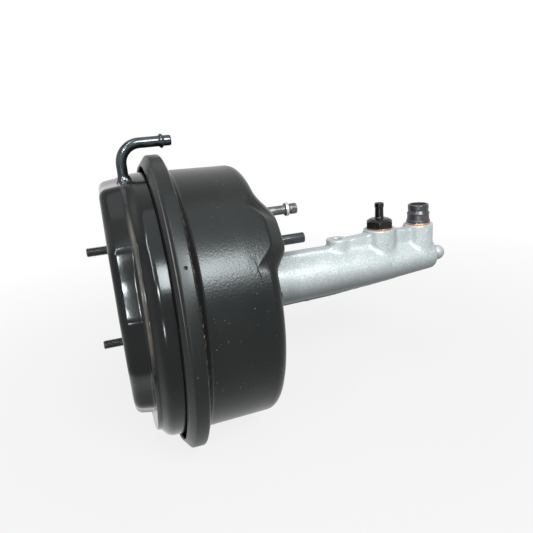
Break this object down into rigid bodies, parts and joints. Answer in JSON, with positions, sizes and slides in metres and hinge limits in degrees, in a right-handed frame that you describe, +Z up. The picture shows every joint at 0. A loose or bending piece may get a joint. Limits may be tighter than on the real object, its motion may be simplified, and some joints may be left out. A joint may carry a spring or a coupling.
{
  "type": "brake booster",
  "caption": "Single-diaphragm vacuum brake booster with a tandem master cylinder, steel shells, vacuum pipes and hose adaptors.",
  "frame": {"origin": "middle of the two rear mounting studs, on the rear mounting face; the booster's own axis runs 12 mm below it", "axes": "+X forwards along the booster and cylinder axis, away from the bulkhead; +Z up, where the ports stand; +Y to the left"},
  "size_m": [0.3653, 0.266, 0.2832],
  "materials": {
    "textured_black_paint": "semi-gloss, orange peel",
    "gloss_black_paint": "gloss",
    "inner_steel": "zinc-chromate plated pressing",
    "dark_steel": "phosphate",
    "rubber": "moulded",
    "spring_steel": "oiled",
    "black_plated_pipe": "gloss black plating",
    "silver_painted_casting": "aluminium paint on a rough casting",
    "zinc_steel": "bright zinc",
    "black_oxide_steel": "gloss black",
    "grey_oxide_steel": "grey oxide",
    "copper": "bright copper",
    "moulded_plastic": "moulded phenolic",
    "felt": "felt",
    "piston_aluminium": "turned"
  },
  "bodies": {
    "booster": {"front_shell": "textured_black_paint", "rear_shell": "gloss_black_paint", "front_reinforcement_plate": "inner_steel", "rear_mounting_studs": "dark_steel", "hub_seal": "rubber", "hub_seal_retainer": "inner_steel", "dust_boot": "rubber", "diaphragm": "rubber", "return_spring": "spring_steel", "rear_vacuum_pipe": "black_plated_pipe", "front_vacuum_pipe": "dark_steel", "front_stub_pipe": "black_plated_pipe", "master_cylinder_body": "silver_painted_casting", "cylinder_seal": "rubber", "cylinder_studs": "dark_steel", "cylinder_washers": "zinc_steel", "cylinder_nuts": "zinc_steel", "end_plug": "silver_painted_casting", "piston_circlip": "spring_steel", "primary_spring": "spring_steel", "secondary_spring": "spring_steel", "feed_hex_adaptor": "black_oxide_steel", "feed_tube": "black_oxide_steel", "feed_copper_washer": "copper", "front_hose_adaptor": "grey_oxide_steel", "front_copper_washer": "copper"},
    "power_piston": {"valve_body": "moulded_plastic", "diaphragm_plate": "inner_steel", "reaction_disc": "rubber", "output_pushrod": "zinc_steel", "pushrod_adjuster": "zinc_steel", "pushrod_retainer": "inner_steel", "air_filter": "felt", "filter_retainer": "moulded_plastic", "poppet_valve": "rubber", "poppet_retainer": "inner_steel", "valve_spring": "spring_steel"},
    "input_rod": {"input_rod": "zinc_steel", "valve_plunger": "zinc_steel"},
    "primary_piston": {"primary_piston": "piston_aluminium", "primary_seals": "rubber"},
    "secondary_piston": {"secondary_piston": "piston_aluminium", "secondary_seals": "rubber"}
  },
  "joints": [
    {"name": "power_piston_slide", "type": "slide", "parent": "booster", "child": "power_piston", "axis": [1, 0, 0], "range_m": [0, 0.028], "stiffness_N_per_m": 4000, "springref_m": -0.025, "deforming": ["return_spring", "dust_boot", "diaphragm"]},
    {"name": "input_rod_slide", "type": "slide", "parent": "power_piston", "child": "input_rod", "axis": [1, 0, 0], "range_m": [0, 0.0015], "stiffness_N_per_m": 3000, "springref_m": -0.004, "deforming": ["valve_spring"]},
    {"name": "primary_piston_slide", "type": "slide", "parent": "booster", "child": "primary_piston", "axis": [1, 0, 0], "range_m": [0, 0.028], "deforming": ["primary_spring"]},
    {"name": "secondary_piston_slide", "type": "slide", "parent": "booster", "child": "secondary_piston", "axis": [1, 0, 0], "range_m": [0, 0.014], "deforming": ["secondary_spring"]}
  ],
  "couplings": [
    {"joint": "primary_piston_slide", "follows": "power_piston_slide", "ratio": 1},
    {"joint": "secondary_piston_slide", "follows": "power_piston_slide", "ratio": 0.5}
  ]
}
